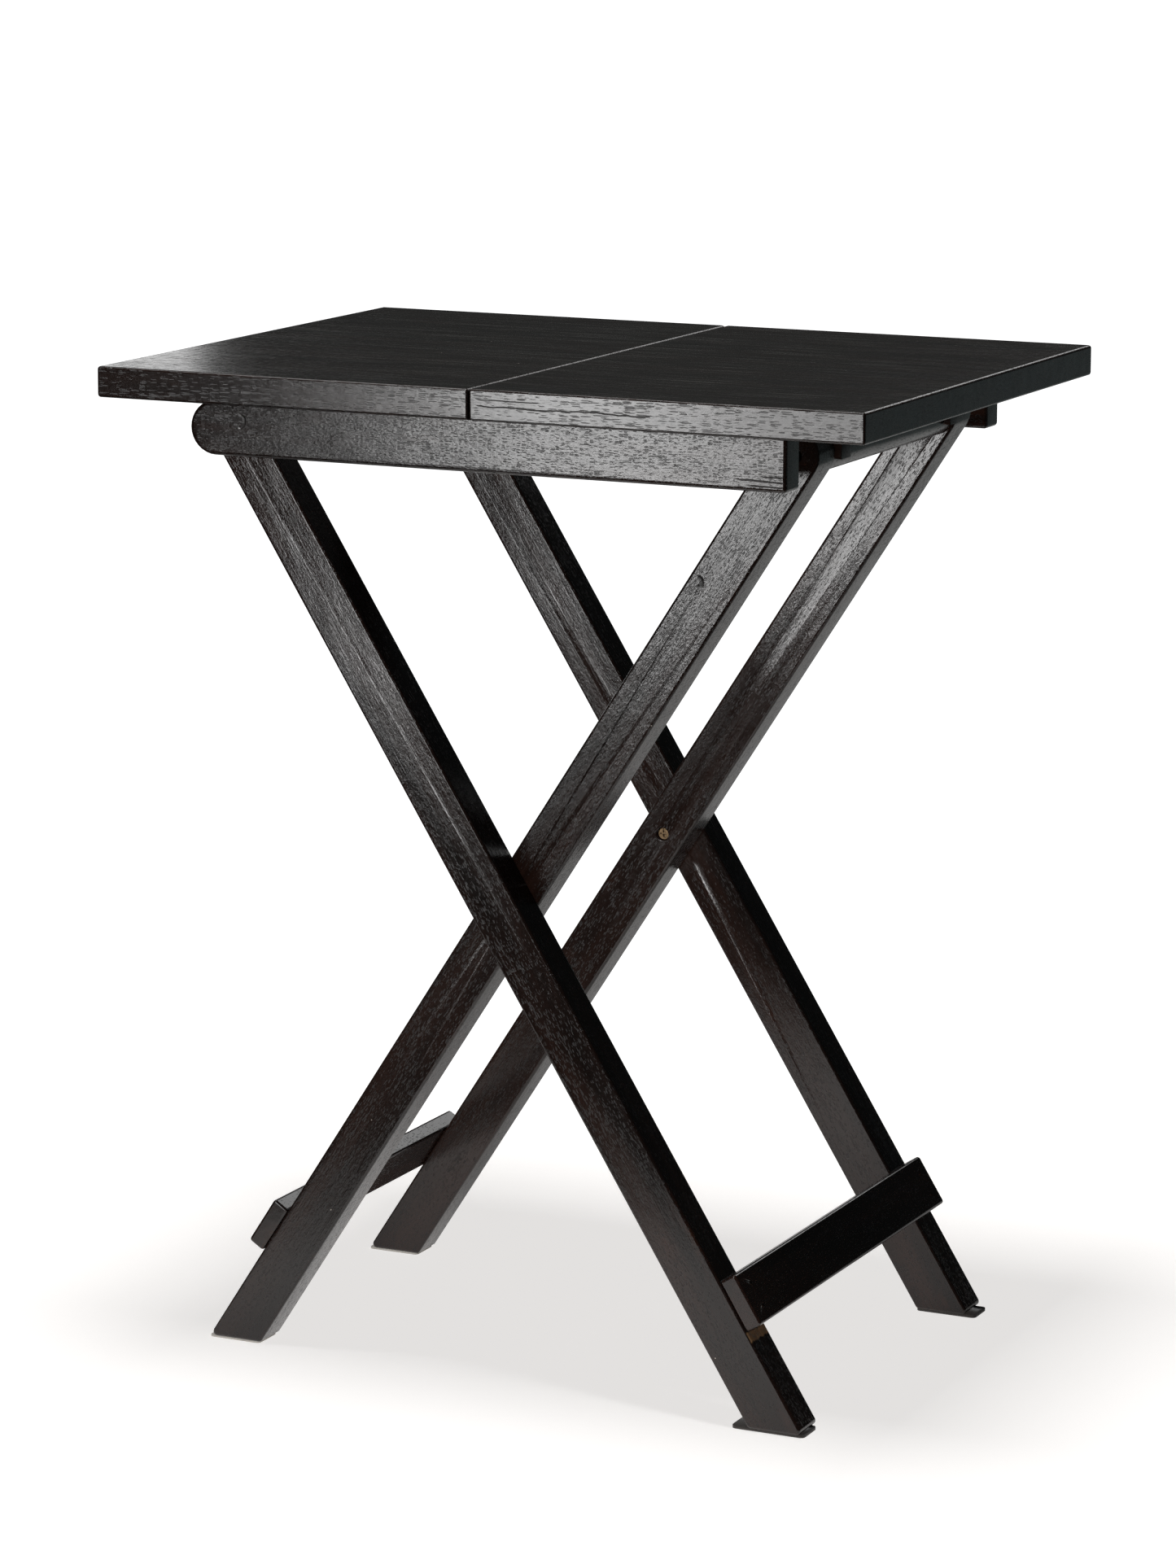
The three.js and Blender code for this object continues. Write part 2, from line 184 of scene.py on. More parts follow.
# %% Wood grain group
def make_grain_group():
    tree, given, out = shader_group(
        "wood_grain",
        {"Vector": ("Vector", (0, 0, 0)), "Seed": ("Float", 0.0), "Stretch": ("Float", 1.0)},
        {"Figure": "Float", "Fibre": "Float", "Pores": "Float", "Peel": "Float", "Swell": "Float"},
    )
    shift = add_node(tree, "ShaderNodeVectorMath", {0: (1.7, 0.9, 1.3), 3: given["Seed"]}, operation="SCALE")
    longer = add_node(tree, "ShaderNodeCombineXYZ", {"X": given["Stretch"], "Y": 1.0, "Z": 1.0}).outputs[0]
    drawn = stretched(tree, given["Vector"], longer)
    place = vector_math(tree, "ADD", drawn, shift.outputs[0])[0]
    tree.links.new(noise(tree, place, (3.5, 38, 38), 5, 0.62, 0.6), out["Figure"])
    tree.links.new(noise(tree, place, (26, 820, 820), 4, 0.6), out["Fibre"])
    spots = stretched(tree, place, (300, 1350, 1350))
    sockets = {"Vector": spots, "Scale": 1.0, "Randomness": 1.0}
    dashes = add_node(tree, "ShaderNodeTexVoronoi", sockets).outputs
    chance = add_node(tree, "ShaderNodeSeparateColor", {0: dashes["Color"]}).outputs[0]
    patches = noise(tree, place, (22, 110, 110), 3)
    size = math_node(tree, "MULTIPLY", between(tree, patches, 0.30, 0.60, 0.36, 0.66), chance)
    inside = math_node(tree, "SUBTRACT", size, dashes["Distance"])
    tree.links.new(between(tree, inside, -0.04, 0.08), out["Pores"])
    tree.links.new(noise(tree, place, (400, 980, 980), 2, 0.6), out["Peel"])
    tree.links.new(noise(tree, place, (16, 42, 42), 3, 0.55), out["Swell"])
    return tree


grain_group = make_grain_group()
print("grain group has", len(grain_group.nodes), "nodes")

# %% [markdown]
# ## Worn edges
# Stain is thinnest where a hand or a cloth rubs: on the arrises. The Bevel node rounds the normal
# near an edge, so the angle between it and the true normal is a mask of the edges that needs no
# painting and no extra mesh. Noise breaks the mask up, because real wear comes and goes.

# %% Edge wear group
def make_wear_group():
    tree, given, out = shader_group(
        "edge_wear",
        {"Vector": ("Vector", (0, 0, 0)), "Amount": ("Float", 0.5)},
        {"Wear": "Float"},
    )
    rounded = add_node(tree, "ShaderNodeBevel", {"Radius": 0.0016}, samples=4).outputs[0]
    true_normal = add_node(tree, "ShaderNodeNewGeometry").outputs["Normal"]
    agreement = vector_math(tree, "DOT_PRODUCT", rounded, true_normal)["Value"]
    edge = between(tree, agreement, 0.995, 0.90)
    broken = between(tree, noise(tree, given["Vector"], (60, 220, 220), 4, 0.6), 0.46, 0.64)
    worn = math_node(tree, "MULTIPLY", edge, broken)
    tree.links.new(math_node(tree, "MULTIPLY", worn, given["Amount"], clamp=True), out["Wear"])
    return tree


wear_group = make_wear_group()

# %% [markdown]
# ## Splits and dent shade
# A hand-made board has single faults as well as even grain: a hairline crack that wanders along a
# face, short splits at an end, a dent from a tool. Each is a soft-edged mask round a line or a
# circle, so one group makes a wandering line and one makes a ring, and both can be used anywhere.
# The ring is kept on one side of its centre only and painted dark: painted shade in the dent.

# %% Split and ring groups
def make_split_group():
    tree, given, out = shader_group(
        "split_line",
        {"Vector": ("Vector", (0, 0, 0)), "Start": ("Float", 0.0), "End": ("Float", 0.1),
         "Level": ("Float", 0.0), "Width": ("Float", 0.0004), "Wander": ("Float", 0.003)},
        {"Mask": "Float"},
    )
    parts = add_node(tree, "ShaderNodeSeparateXYZ", {0: given["Vector"]}).outputs
    along = add_node(tree, "ShaderNodeCombineXYZ", {"X": parts["X"], "Y": given["Level"]}).outputs[0]
    swing = math_node(tree, "SUBTRACT", noise(tree, along, (45, 900, 1), 3, 0.6), 0.5)
    level = math_node(tree, "MULTIPLY_ADD", swing, given["Wander"], given["Level"])
    off = math_node(tree, "ABSOLUTE", math_node(tree, "SUBTRACT", parts["Z"], level))
    line = between(tree, off, given["Width"], 0.0)
    after = between(tree, math_node(tree, "SUBTRACT", parts["X"], given["Start"]), 0.0, 0.006)
    before = between(tree, math_node(tree, "SUBTRACT", given["End"], parts["X"]), 0.0, 0.006)
    mask = math_node(tree, "MULTIPLY", line, math_node(tree, "MULTIPLY", after, before))
    tree.links.new(mask, out["Mask"])
    return tree


def make_dent_shade_group():
    tree, given, out = shader_group(
        "dent_shade_ring",
        {"Vector": ("Vector", (0, 0, 0)), "Centre": ("Vector", (0, 0, 0)),
         "Radius": ("Float", 0.004), "Width": ("Float", 0.0008)},
        {"Mask": "Float"},
    )
    offset = vector_math(tree, "SUBTRACT", given["Vector"], given["Centre"])[0]
    flat = stretched(tree, offset, (1, 0.4, 1))
    reach = add_node(tree, "ShaderNodeVectorMath", {0: flat}, operation="LENGTH").outputs["Value"]
    off = math_node(tree, "ABSOLUTE", math_node(tree, "SUBTRACT", reach, given["Radius"]))
    ring = between(tree, off, given["Width"], 0.0)
    side = add_node(tree, "ShaderNodeSeparateXYZ", {0: offset}).outputs["X"]
    # Only the side towards +X is kept: the painted shade inside the dent.
    shaded_side = between(tree, side, -0.001, 0.002)
    tree.links.new(math_node(tree, "MULTIPLY", ring, shaded_side), out["Mask"])
    return tree


split_group = make_split_group()
dent_shade_group = make_dent_shade_group()

# %% [markdown]
# ## Espresso stain under satin varnish
# One function makes the stained wood for every piece. What differs is told to it: which way the
# grain runs, a seed, how worn it is and how glossy. The stain is nearly black with red-brown where
# it is thin. The varnish is only a film, so pores and orange peel reach the surface as a bump, and
# these small slopes make part of the bright speckle of the real finish; the rest is painted highlight,
# sparse pale dots in the colour. Faces that point up get a painted sheen, grey with lighter streaks.

# %% Stained wood material
DARK = (0.0058, 0.0033, 0.0026, 1)
BROWN = (0.0185, 0.0086, 0.0062, 1)
THIN = (0.075, 0.027, 0.015, 1)
# Pale dots painted in as glints of the varnish.
GLINT_SPECK = (0.42, 0.37, 0.32, 1)
BARE = (0.25, 0.145, 0.075, 1)
# Painted sheen for faces that point up: lighter streaks and an even grey.
SHEEN_STREAK_COLOUR = (0.075, 0.073, 0.069, 1)
TOP_SHEEN_COLOUR = (0.019, 0.0184, 0.0176, 1)
PORE = (0.003, 0.002, 0.002, 1)


def stained_wood(name, origin, turn, seed, wear=0.5, gloss=0.13, texture=0.9, thin=0.3,
                 stretch=1.0, top_sheen=0.0, splits=(), dent_shades=(), bare=None):
    material = bpy.data.materials.new(name)
    material.use_nodes = True
    tree = material.node_tree
    surface = tree.nodes["Principled BSDF"]
    given = add_node(tree, "ShaderNodeTexCoord").outputs
    sockets = {"Vector": given["Object"], "Location": origin, "Rotation": turn}
    local = add_node(tree, "ShaderNodeMapping", sockets, vector_type="TEXTURE").outputs[0]
    grain = add_node(tree, "ShaderNodeGroup", node_tree=grain_group)
    tree.links.new(local, grain.inputs["Vector"])
    grain.inputs["Seed"].default_value = seed
    grain.inputs["Stretch"].default_value = stretch
    worn = add_node(tree, "ShaderNodeGroup", node_tree=wear_group)
    tree.links.new(local, worn.inputs["Vector"])
    worn.inputs["Amount"].default_value = wear
    figure = between(tree, grain.outputs["Figure"], 0.32, 0.70)
    colour = mix_colour(tree, figure, DARK, BROWN)
    patchy = between(tree, noise(tree, local, (9, 30, 30), 4, 0.65), 0.58, 0.80, 0.0, thin)
    colour = mix_colour(tree, patchy, colour, THIN)
    colour = mix_colour(tree, worn.outputs["Wear"], colour, THIN)
    # Faces that point up are painted grey with lighter streaks along the grain: a painted sheen in place of the
    # reflection seen across the top.
    top_sheen_mask = math_node(tree, "MULTIPLY", upward_face(tree, given["Normal"]), top_sheen)
    colour = mix_colour(tree, math_node(tree, "MULTIPLY", top_sheen_mask, 0.75), colour, TOP_SHEEN_COLOUR)
    sheen_streak = math_node(tree, "MULTIPLY", between(tree, grain.outputs["Fibre"], 0.52, 0.70), top_sheen_mask)
    colour = mix_colour(tree, sheen_streak, colour, SHEEN_STREAK_COLOUR)
    cracks_and_dent_shade = faults(tree, given["Object"], splits, dent_shades)
    if bare:
        colour = mix_colour(tree, bare_patch(tree, local, *bare), colour, BARE)
    # Pores, cracks and the painted shade in dents all take the dark pore colour.
    pores = math_node(tree, "MAXIMUM", math_node(tree, "MULTIPLY", grain.outputs["Pores"], 0.7), cracks_and_dent_shade)
    colour = mix_colour(tree, pores, colour, PORE)
    # Sparse pale dots: painted glints.
    colour = mix_colour(tree, painted_glint_mask(tree, local), colour, GLINT_SPECK)
    tree.links.new(colour, surface.inputs["Base Color"])
    rough = math_node(tree, "MULTIPLY_ADD", grain.outputs["Swell"], 0.10, gloss - 0.05)
    rough = math_node(tree, "MULTIPLY_ADD", pores, 0.28, rough)
    tree.links.new(rough, surface.inputs["Roughness"])
    tree.links.new(bumpy(tree, grain, texture, cracks_and_dent_shade), surface.inputs["Normal"])
    surface.inputs["IOR"].default_value = 1.5
    return material


# Mask of the faces that point up, where the painted top sheen goes.
def upward_face(tree, normal):
    height = add_node(tree, "ShaderNodeSeparateXYZ", {0: normal}).outputs["Z"]
    return between(tree, height, 0.80, 0.98)


# Sparse small dots where the painted glints go.
def painted_glint_mask(tree, local):
    cells = add_node(tree, "ShaderNodeTexVoronoi", {"Vector": local, "Scale": 70.0}, feature="F1")
    dot = between(tree, cells.outputs["Distance"], 0.035, 0.02)
    chosen = add_node(tree, "ShaderNodeSeparateColor", {0: cells.outputs["Color"]}).outputs[0]
    return math_node(tree, "MULTIPLY", dot, math_node(tree, "GREATER_THAN", chosen, 0.86))


# Splits are real cracks; the rings are painted shade in dents.
def faults(tree, place, splits, dent_shades):
    total = 0.0
    rows = [(split_group, dict(zip(("Start", "End", "Level", "Width", "Wander"), row))) for row in splits]
    rows += [(dent_shade_group, dict(zip(("Centre", "Radius", "Width"), row))) for row in dent_shades]
    for group, values in rows:
        node = add_node(tree, "ShaderNodeGroup", node_tree=group)
        tree.links.new(place, node.inputs["Vector"])
        for label, value in values.items():
            node.inputs[label].default_value = value
        total = math_node(tree, "MAXIMUM", node.outputs["Mask"], total)
    return total


def bare_patch(tree, local, start, end, level):
    parts = add_node(tree, "ShaderNodeSeparateXYZ", {0: local}).outputs
    ragged = math_node(tree, "MULTIPLY_ADD", noise(tree, local, (80, 260, 260), 4, 0.6), 0.004, -0.002)
    along = math_node(tree, "ADD", parts["X"], ragged)
    after = between(tree, along, start, start + 0.0015)
    before = between(tree, along, end, end - 0.0015)
    side = between(tree, parts["Z"], level + 0.0012, level + 0.0002)
    return math_node(tree, "MULTIPLY", side, math_node(tree, "MULTIPLY", after, before))


def bumpy(tree, grain, texture, cracks_and_dent_shade):
    height = math_node(tree, "MULTIPLY", grain.outputs["Peel"], 0.090 * texture)
    height = math_node(tree, "MULTIPLY_ADD", grain.outputs["Fibre"], 0.090 * texture, height)
    height = math_node(tree, "MULTIPLY_ADD", grain.outputs["Pores"], -0.05 * texture, height)
    height = math_node(tree, "MULTIPLY_ADD", grain.outputs["Swell"], 0.45, height)
    if isinstance(cracks_and_dent_shade, bpy.types.NodeSocket):
        height = math_node(tree, "MULTIPLY_ADD", cracks_and_dent_shade, -0.25, height)
    return add_node(tree, "ShaderNodeBump", {"Height": height, "Strength": 1.0, "Distance": 0.001}).outputs[0]


# Leg a: half its width, and where the lower edge of its stretcher crosses it.
LEG_HALF = 0.01625
GLUE_LINE = (centre("stretcher_a") - hinge).dot(along_a) - 0.018

ALONG_X = (0, 0, 0)
ALONG_Y = (0, 0, math.pi / 2)
ALONG_A = (0, -tilt_a, 0)
ALONG_B = (0, -tilt_b, 0)

# Only the top boards get the painted top sheen.
BOARD = {"gloss": 0.15, "texture": 0.8, "stretch": 0.45, "top_sheen": 1.0}
RAIL = {"gloss": 0.15, "texture": 0.95}
LEG = {"wear": 0.6, "texture": 0.8}
STRETCHER = {"wear": 1.0, "gloss": 0.12, "texture": 0.1, "thin": 0.35}
CATCH = {"wear": 0.6, "gloss": 0.40}
ORIGIN = (0, 0, 0)

wood_of = {
    "top_board_left": stained_wood("wood_top_left", ORIGIN, ALONG_X, 1.0, **BOARD),
    "top_board_right": stained_wood(
        "wood_top_right", ORIGIN, ALONG_X, 5.3, **BOARD,
        splits=[(0.004, 0.125, 0.6495, 0.0005, 0.004), (0.004, 0.05, 0.6535, 0.0004, 0.002)]),
    # The ring on the rail front is painted shade in a dimple.
    "rail_front": stained_wood(
        "wood_rail_front", ORIGIN, ALONG_X, 9.1, wear=0.9, **RAIL,
        splits=[(0.172, 0.208, 0.6115, 0.0007, 0.004), (0.180, 0.208, 0.6085, 0.0006, 0.003),
                (0.188, 0.208, 0.6145, 0.0005, 0.002)],
        dent_shades=[((-0.1716, -0.179, 0.6277), 0.0042, 0.0009)]),
    "rail_rear": stained_wood("wood_rail_rear", ORIGIN, ALONG_X, 12.4, **RAIL),
    "leg_a_front": stained_wood(
        "wood_leg_a_front", hinge, ALONG_A, 15.2, **LEG,
        bare=(GLUE_LINE - 0.008, GLUE_LINE, -LEG_HALF)),
    "leg_a_rear": stained_wood("wood_leg_a_rear", hinge, ALONG_A, 19.7, **LEG),
    # The ring on leg b front is painted shade in a dent.
    "leg_b_front": stained_wood(
        "wood_leg_b_front", rod_axis, ALONG_B, 23.9, wear=0.6, gloss=0.16, texture=1.2,
        dent_shades=[((0.1254, -0.129, 0.5379), 0.0030, 0.0022)]),
    "leg_b_rear": stained_wood("wood_leg_b_rear", rod_axis, ALONG_B, 27.5, **LEG),
    "stretcher_a": stained_wood("wood_stretcher_a", ORIGIN, ALONG_Y, 31.8, **STRETCHER),
    "stretcher_b": stained_wood("wood_stretcher_b", ORIGIN, ALONG_Y, 35.6, **STRETCHER),
    "top_rod": stained_wood("wood_rod", ORIGIN, ALONG_Y, 39.4, wear=0.3, gloss=0.20, texture=0.3),
    "rod_catch_front": stained_wood("wood_catch_front", ORIGIN, ALONG_X, 43.3, **CATCH),
    "rod_catch_rear": stained_wood("wood_catch_rear", ORIGIN, ALONG_X, 47.2, **CATCH),
}
print("stained wood materials:", len(wood_of))

# %% [markdown]
# ## Wooden pieces
# The frame's meshes are loose triangles with flat shading. Their shape is right, so each wooden
# piece is a merged copy of its node, smoothed over the rounded arrises. A Weighted Normal modifier
# keeps the big faces flat while the narrow rounded strips between them shade as curves.

# %% Wooden pieces
def merged_copy(name, node):
    source = nodes[node]
    mesh = source.data.copy()
    mesh.name = name
    shape = bmesh.new()
    shape.from_mesh(mesh)
    bmesh.ops.remove_doubles(shape, verts=shape.verts, dist=1e-6)
    shape.to_mesh(mesh)
    shape.free()
    piece = bpy.data.objects.new(name, mesh)
    bpy.context.collection.objects.link(piece)
    return piece


def smooth_over_arrises(piece, angle=50):
    mesh = piece.data
    mesh.shade_smooth()
    mesh.set_sharp_from_angle(angle=math.radians(angle))
    modifier = piece.modifiers.new("flat_faces", "WEIGHTED_NORMAL")
    modifier.keep_sharp = True
    modifier.weight = 100


def stand_for(piece, node, material):
    piece.data.materials.clear()
    piece.data.materials.append(material)
    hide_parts(node)
    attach(piece, body_of_node[node])


for node, material in wood_of.items():
    timber = merged_copy(f"{node}_wood", node)
    smooth_over_arrises(timber)
    stand_for(timber, node, material)
print("wooden pieces finished:", len(wood_of))

# %% [markdown]
# ## Metal
# The pivot screws have a thin brass-coloured plating that has dulled in patches. Board screws,
# catch screws and washers are zinc-plated steel, and the rod screws and nails are steel darkened by
# the stain. Noise in the roughness keeps them all from looking like new chrome.

# %% Metal materials
def plated(name, colour, dull, rough):
    material = bpy.data.materials.new(name)
    material.use_nodes = True
    tree = material.node_tree
    surface = tree.nodes["Principled BSDF"]
    place = add_node(tree, "ShaderNodeTexCoord").outputs["Object"]
    cloud = noise(tree, place, (900, 900, 900), 4, 0.6)
    stained = between(tree, cloud, 0.45, 0.70)
    tree.links.new(mix_colour(tree, stained, colour, dull), surface.inputs["Base Color"])
    tree.links.new(math_node(tree, "MULTIPLY_ADD", cloud, 0.35, rough), surface.inputs["Roughness"])
    surface.inputs["Metallic"].default_value = 1.0
    bump = add_node(tree, "ShaderNodeBump", {"Height": cloud, "Strength": 0.3, "Distance": 0.0001})
    tree.links.new(bump.outputs[0], surface.inputs["Normal"])
    return material


brass = plated("dull_brass", (0.20, 0.135, 0.075, 1), (0.020, 0.013, 0.010, 1), 0.22)
stained_steel = plated("stained_steel", (0.030, 0.018, 0.013, 1), (0.010, 0.007, 0.006, 1), 0.18)
zinc = plated("zinc_plate", (0.60, 0.59, 0.57, 1), (0.30, 0.29, 0.27, 1), 0.20)

# %% [markdown]
# ## Screws and nails
# Twenty-six screws and nails differ only in size, place and direction, so one Geometry Nodes tree
# makes them: a countersunk head, a shank and a point on every given spot, turned along a stored
# direction. The cross recess is cut once, before the copies are made. The tree ends in Realize
# Instances and Set Material, and each body gets one plain mesh of its own fasteners.

# %% Fastener tree
def geometry_group(name, inputs):
    tree = bpy.data.node_groups.new(name, "GeometryNodeTree")
    tree.interface.new_socket("Geometry", in_out="INPUT", socket_type="NodeSocketGeometry")
    for label, (kind, value) in inputs.items():
        socket = tree.interface.new_socket(label, in_out="INPUT", socket_type=f"NodeSocket{kind}")
        if value is not None:
            socket.default_value = value
    tree.interface.new_socket("Geometry", in_out="OUTPUT", socket_type="NodeSocketGeometry")
    return tree, tree.nodes.new("NodeGroupInput").outputs, tree.nodes.new("NodeGroupOutput").inputs


def gn_math(tree, operation, first, second=0.0):
    return add_node(tree, "ShaderNodeMath", {0: first, 1: second}, operation=operation).outputs[0]


def lifted(tree, geometry, height):
    offset = add_node(tree, "ShaderNodeCombineXYZ", {"Z": height}).outputs[0]
    return add_node(tree, "GeometryNodeTransform", {"Geometry": geometry, "Translation": offset}).outputs[0]


def cone(tree, top, bottom, depth, sides):
    sockets = {"Vertices": sides, "Radius Top": top, "Radius Bottom": bottom, "Depth": depth}
    return add_node(tree, "GeometryNodeMeshCone", sockets).outputs["Mesh"]


def make_fastener_tree():
    tree, given, out = geometry_group("fasteners", {
        "Head Radius": ("Float", 0.0039),
        "Head Height": ("Float", 0.0026),
        "Shank Radius": ("Float", 0.0019),
        "Length": ("Float", 0.034),
        "Recess": ("Float", 1.0),
        "Material": ("Material", None),
    })
    head, high, shank, length = (given[k] for k in ("Head Radius", "Head Height", "Shank Radius", "Length"))
    rim_height = gn_math(tree, "MULTIPLY", high, 0.22)
    rim = cone(tree, head, gn_math(tree, "MULTIPLY", head, 0.86), rim_height, 32)
    sink_depth = gn_math(tree, "MULTIPLY", high, 0.78)
    sink = lifted(tree, cone(tree, shank, head, sink_depth, 32), rim_height)
    body_length = gn_math(tree, "SUBTRACT", length, gn_math(tree, "MULTIPLY", shank, 2.5))
    body = lifted(tree, cone(tree, shank, shank, gn_math(tree, "SUBTRACT", body_length, high), 16), high)
    point = lifted(tree, cone(tree, 0.0, shank, gn_math(tree, "MULTIPLY", shank, 2.5), 16), body_length)
    solid = add_node(tree, "GeometryNodeMeshBoolean", operation="UNION", solver="EXACT")
    for part in (rim, sink, body, point):
        tree.links.new(part, solid.inputs["Mesh 2"])
    arm_length = gn_math(tree, "MULTIPLY", gn_math(tree, "MULTIPLY", head, 1.15), given["Recess"])
    arm_width = gn_math(tree, "MULTIPLY", gn_math(tree, "MULTIPLY", head, 0.24), given["Recess"])
    deep = gn_math(tree, "MULTIPLY", high, 1.1)
    cutter = add_node(tree, "GeometryNodeMeshBoolean", operation="DIFFERENCE", solver="EXACT")
    tree.links.new(solid.outputs["Mesh"], cutter.inputs["Mesh 1"])
    for x, y in ((arm_length, arm_width), (arm_width, arm_length)):
        size = add_node(tree, "ShaderNodeCombineXYZ", {"X": x, "Y": y, "Z": deep}).outputs[0]
        arm = add_node(tree, "GeometryNodeMeshCube", {"Size": size}).outputs["Mesh"]
        tree.links.new(arm, cutter.inputs["Mesh 2"])
    heading = add_node(tree, "GeometryNodeInputNamedAttribute", {"Name": "heading"}, data_type="FLOAT_VECTOR")
    turned = add_node(tree, "FunctionNodeAlignRotationToVector", {"Vector": heading.outputs[0]}, axis="Z")
    spots = add_node(tree, "GeometryNodeMeshToPoints", {"Mesh": given["Geometry"]}).outputs[0]
    sockets = {"Points": spots, "Instance": cutter.outputs["Mesh"], "Rotation": turned.outputs[0]}
    copies = add_node(tree, "GeometryNodeInstanceOnPoints", sockets).outputs[0]
    real = add_node(tree, "GeometryNodeRealizeInstances", {"Geometry": copies}).outputs[0]
    painted = add_node(tree, "GeometryNodeSetMaterial", {"Geometry": real, "Material": given["Material"]})
    tree.links.new(painted.outputs[0], out["Geometry"])
    return tree


fastener_tree = make_fastener_tree()
print("fastener tree has", len(fastener_tree.nodes), "nodes")

# %% [markdown]
# ## Where each fastener sits
# A fastener's node in the frame is long and thin. Its place and heading are read back from that
# mesh: its axis is the one it is longest along, and the end with more points in its face is the head.

# %% Place and heading of a fastener
def place_of(node):
    points = [v.co.copy() for v in nodes[node].data.vertices]
    low, high = (Vector(corner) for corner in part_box(node))
    ends = {}
    for axis in axes_to_try(node):
        heights = [p.dot(axis) for p in points]
        ends[axis.freeze()] = max(heights) - min(heights)
    axis = max(ends, key=ends.get)
    middle = (low + high) / 2
    top, bottom = max(p.dot(axis) for p in points), min(p.dot(axis) for p in points)
    at_top = sum(1 for p in points if top - p.dot(axis) < 1e-5)
    at_bottom = sum(1 for p in points if p.dot(axis) - bottom < 1e-5)
    heading = Vector(axis) if at_bottom > at_top else -Vector(axis)
    length = top - bottom
    return middle - heading * length / 2, heading, length


def axes_to_try(node):
    if "nail" not in node:
        return [Vector((0, 0, 1)), Vector((0, 1, 0))]
    along = along_a if "stretcher_a" in node else along_b
    return [Vector((along.z, 0, -along.x))]


FASTENERS = {
    "board_screws": ("board_screw", zinc, 0.0039, 0.0026, 0.0019, 1.0),
    "catch_screws": ("catch_screw", zinc, 0.0034, 0.0022, 0.0017, 1.0),
    "rod_screws": ("rod_screw", stained_steel, 0.0043, 0.0026, 0.0019, 1.0),
    "hinge_screws": ("hinge_screw", brass, 0.0044, 0.0024, 0.0026, 1.0),
    "cross_screws": ("cross_screw", brass, 0.0044, 0.0024, 0.0026, 1.0),
    "stretcher_a_nails": ("stretcher_a_nail", stained_steel, 0.0013, 0.0010, 0.0008, 0.01),
    "stretcher_b_nails": ("stretcher_b_nail", stained_steel, 0.0013, 0.0010, 0.0008, 0.01),
}


def make_fasteners(name, stem, material, head, high, shank, recess):
    members = sorted(node for node in nodes if node.startswith(stem))
    places = [place_of(node) for node in members]
    mesh = bpy.data.meshes.new(name)
    mesh.from_pydata([spot for spot, _, _ in places], [], [])
    heading = mesh.attributes.new("heading", "FLOAT_VECTOR", "POINT")
    for i, (_, way, _) in enumerate(places):
        heading.data[i].vector = way
    spots = bpy.data.objects.new(f"{name}_spots", mesh)
    bpy.context.collection.objects.link(spots)
    values = {"Head Radius": head, "Head Height": high, "Shank Radius": shank,
              "Length": places[0][2], "Recess": recess, "Material": material}
    piece = bake_nodes(spots, fastener_tree, values, name)
    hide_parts(*members)
    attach(piece, body_of_node[members[0]])
    return piece


def bake_nodes(source, tree, values, name):
    modifier = source.modifiers.new("shape", "NODES")
    modifier.node_group = tree
    names = {item.name: item.identifier for item in tree.interface.items_tree if item.in_out == "INPUT"}
    for label, value in values.items():
        modifier[names[label]] = value
    evaluated = source.evaluated_get(bpy.context.evaluated_depsgraph_get())
    mesh = bpy.data.meshes.new_from_object(evaluated)
    mesh.name = name
    piece = bpy.data.objects.new(name, mesh)
    bpy.context.collection.objects.link(piece)
    bpy.data.objects.remove(source)
    mesh.shade_smooth()
    mesh.set_sharp_from_angle(angle=math.radians(30))
    return piece


for name, row in FASTENERS.items():
    made = make_fasteners(name, *row)
    print(f"{name}: {len(made.data.polygons)} faces")

# %% [markdown]
# ## Washers
# The thin washers between the turning pieces keep their frame meshes: a flat ring needs no more
# than the zinc finish, because only its edge shows.

# %% Washers
for node, piece in nodes.items():
    if "washer" in node:
        piece.data.materials.clear()
        piece.data.materials.append(zinc)

# %% [markdown]
# ## Foot pads
# Stuck-on pads are pressed felt or thin foam. Their material is rough and slightly fuzzy, with a
# little sheen, and a fine uneven bump.

# %% Pad material
def padding(name, colour, other):
    material = bpy.data.materials.new(name)
    material.use_nodes = True
    tree = material.node_tree
    surface = tree.nodes["Principled BSDF"]
    place = add_node(tree, "ShaderNodeTexCoord").outputs["Object"]
    fuzz = noise(tree, place, (1600, 1600, 1600), 5, 0.7)
    tree.links.new(mix_colour(tree, fuzz, colour, other), surface.inputs["Base Color"])
    surface.inputs["Roughness"].default_value = 0.92
    surface.inputs["Sheen Weight"].default_value = 0.3
    bump = add_node(tree, "ShaderNodeBump", {"Height": fuzz, "Strength": 0.8, "Distance": 0.0004})
    tree.links.new(bump.outputs[0], surface.inputs["Normal"])
    return material


pad_finish = {
    "foot_pad_a": padding("dark_pad", (0.016, 0.013, 0.012, 1), (0.045, 0.038, 0.033, 1)),
    "foot_pad_b": padding("pale_pad", (0.36, 0.34, 0.31, 1), (0.55, 0.52, 0.48, 1)),
}
for node in [node for node in nodes if node.startswith("foot_pad")]:
    pad = merged_copy(f"{node}_felt", node)
    pad.data.shade_smooth()
    pad.data.set_sharp_from_angle(angle=math.radians(40))
    stand_for(pad, node, pad_finish[node[:10]])

# %% [markdown]
# ## Studio
# The floor is pale and partly self-lit, so shadows on it stay as pale as on a lit sweep, and it fades
# to white further out. Dark varnish shows whatever stands round it, so in a reflection most of the
# floor is dark, with one lit sheet close to the table and a dimmer one behind it.

# %% Floor
def shelter(tree, place, middle, inner, outer):
    offset = vector_math(tree, "DISTANCE", place, middle)["Value"]
    return between(tree, offset, outer, inner)


NEAR_GLOOM = (0.010, 0.012, 0.012, 1)
FAR_GLOOM = (0.11, 0.13, 0.13, 1)


